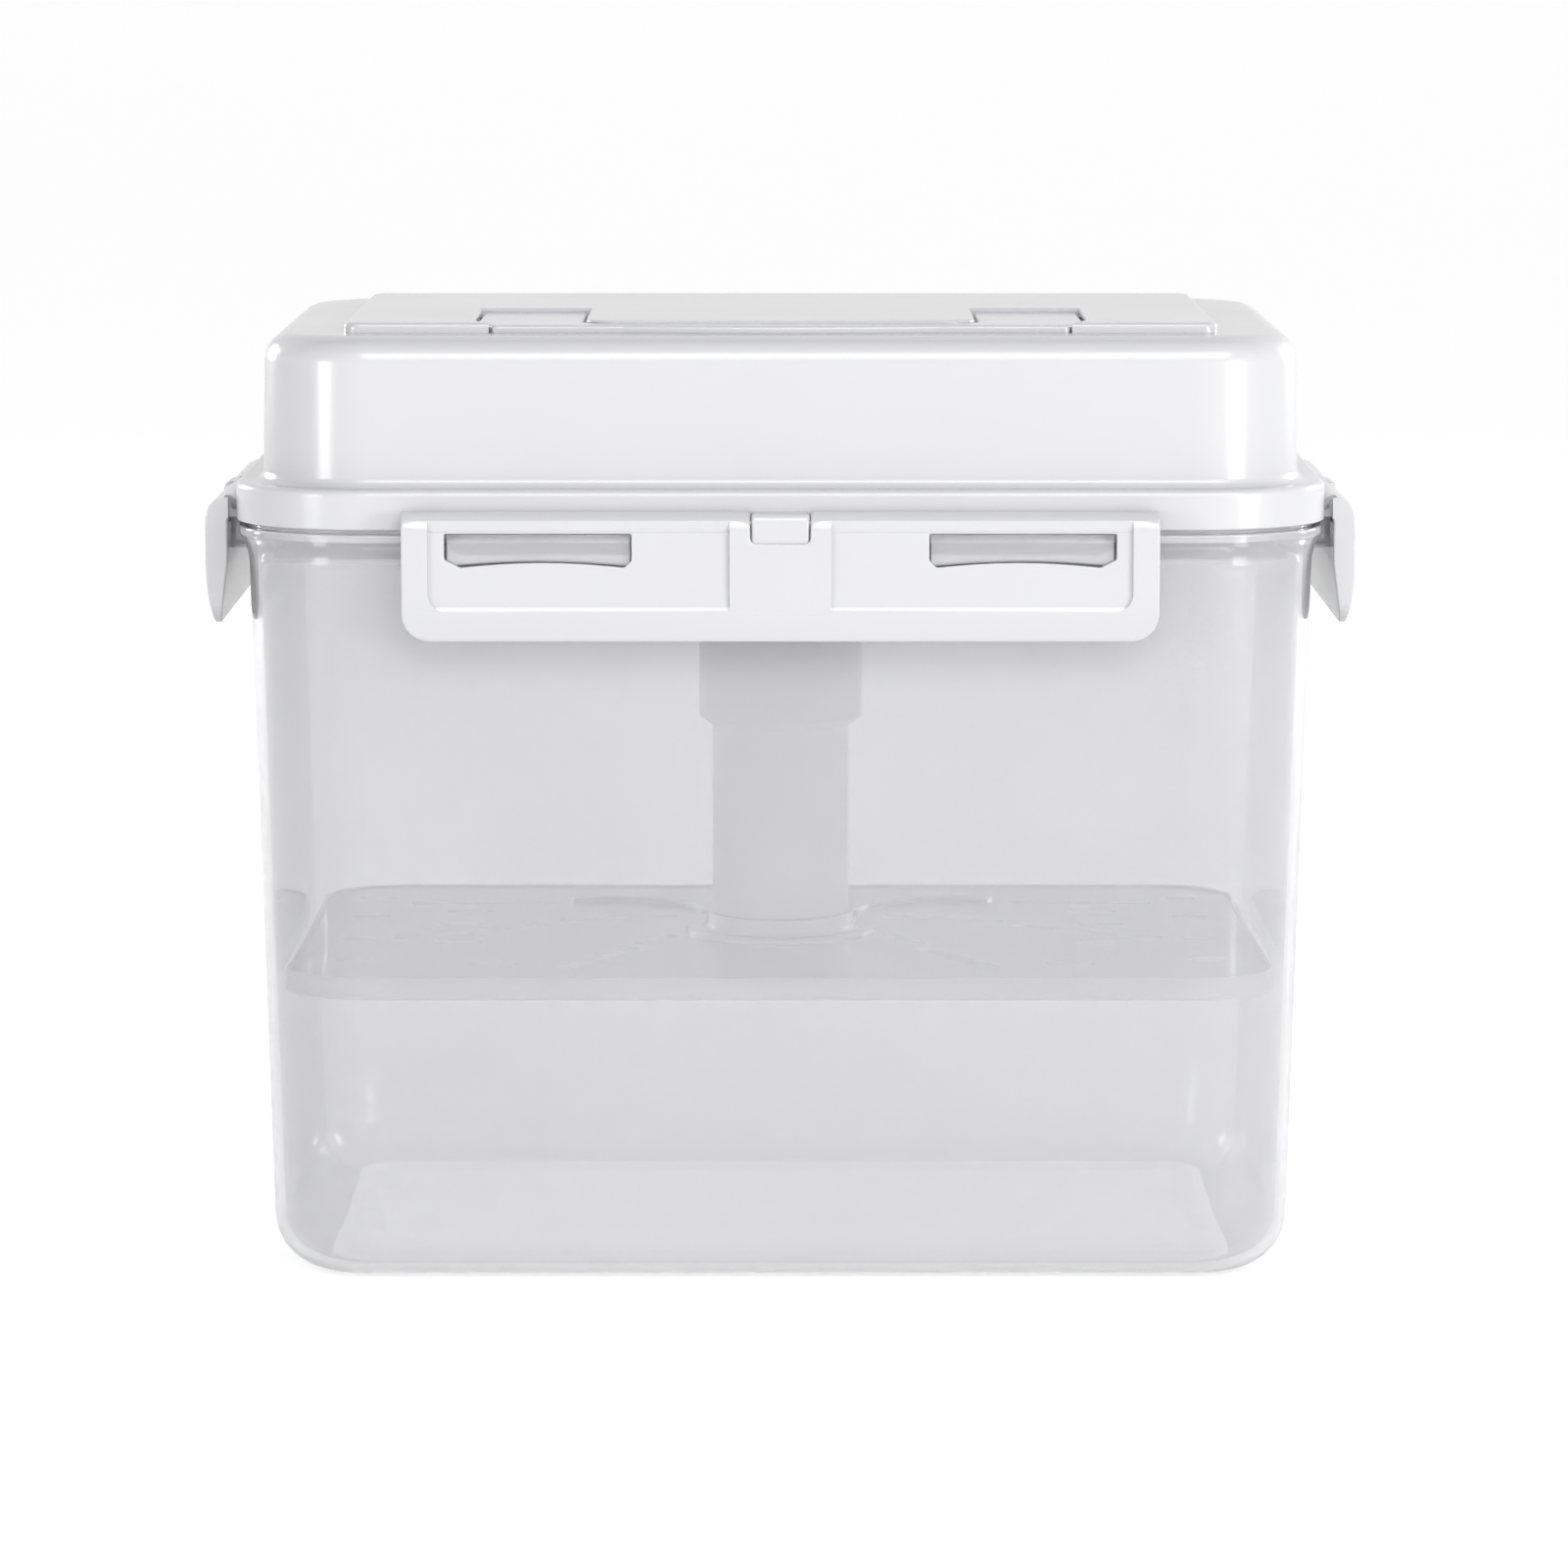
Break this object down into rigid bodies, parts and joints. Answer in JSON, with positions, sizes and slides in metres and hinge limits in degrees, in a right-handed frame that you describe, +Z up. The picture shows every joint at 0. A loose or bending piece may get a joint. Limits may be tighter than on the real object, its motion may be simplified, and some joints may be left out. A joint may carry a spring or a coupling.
{
  "type": "kimchi press",
  "caption": "Clear rectangular fermentation tub with a domed snap lid, hinged side latches, a folding carry handle and a sprung telescopic post with a slotted press plate.",
  "frame": {"origin": "centre of the tub's foot, on the surface that it stands on", "axes": "+Z up, -Y the front with the handle's grip, +X the right-hand side seen from the front"},
  "size_m": [0.2918, 0.2062, 0.2423],
  "materials": {
    "clear_plastic": "clear moulded plastic with a faint grey haze",
    "lid_white": "glossy white moulded polypropylene",
    "silicone": "matte translucent silicone",
    "handle_white": "glossy white moulded polypropylene",
    "latch_white": "glossy white moulded polypropylene",
    "pin_steel": "drawn stainless steel",
    "spring_steel": "drawn stainless spring wire",
    "post_white": "satin white moulded plastic",
    "plate_milky": "milky natural polypropylene"
  },
  "bodies": {
    "tub": {"tub": "clear_plastic"},
    "lid": {"lid_shell": "lid_white", "lid_seal": "silicone", "handle_pins": "pin_steel", "front_latch_pin": "pin_steel", "rear_latch_pin": "pin_steel", "left_latch_pin": "pin_steel", "right_latch_pin": "pin_steel", "press_sleeve": "post_white", "sleeve_cap": "post_white", "press_spring": "spring_steel"},
    "handle": {"handle": "handle_white"},
    "front_latch": {"front_latch": "latch_white"},
    "rear_latch": {"rear_latch": "latch_white"},
    "left_latch": {"left_latch": "latch_white"},
    "right_latch": {"right_latch": "latch_white"},
    "press": {"press_column": "post_white", "column_ring": "post_white", "press_plate": "plate_milky", "plate_screw": "pin_steel"}
  },
  "joints": [
    {"name": "lid_lift", "type": "slide", "parent": "tub", "child": "lid", "axis": [0, 0, 1], "range_m": [0, 0.165]},
    {"name": "front_latch_hinge", "type": "hinge", "parent": "lid", "child": "front_latch", "pos_m": [0, -0.0985, 0.1944], "axis": [-1, 0, 0], "range_deg": [0, 100]},
    {"name": "rear_latch_hinge", "type": "hinge", "parent": "lid", "child": "rear_latch", "pos_m": [0, 0.0985, 0.1944], "axis": [1, 0, 0], "range_deg": [0, 100]},
    {"name": "left_latch_hinge", "type": "hinge", "parent": "lid", "child": "left_latch", "pos_m": [-0.1413, 0, 0.1944], "axis": [0, 1, 0], "range_deg": [0, 100]},
    {"name": "right_latch_hinge", "type": "hinge", "parent": "lid", "child": "right_latch", "pos_m": [0.1413, 0, 0.1944], "axis": [0, -1, 0], "range_deg": [0, 100]},
    {"name": "handle_hinge", "type": "hinge", "parent": "lid", "child": "handle", "pos_m": [0, -0.013, 0.2387], "axis": [-1, 0, 0], "range_deg": [0, 90]},
    {"name": "press_slide", "type": "slide", "parent": "lid", "child": "press", "axis": [0, 0, 1], "range_m": [0, 0.047], "stiffness_N_per_m": 600, "springref_m": -0.02, "deforming": ["press_spring"]}
  ]
}
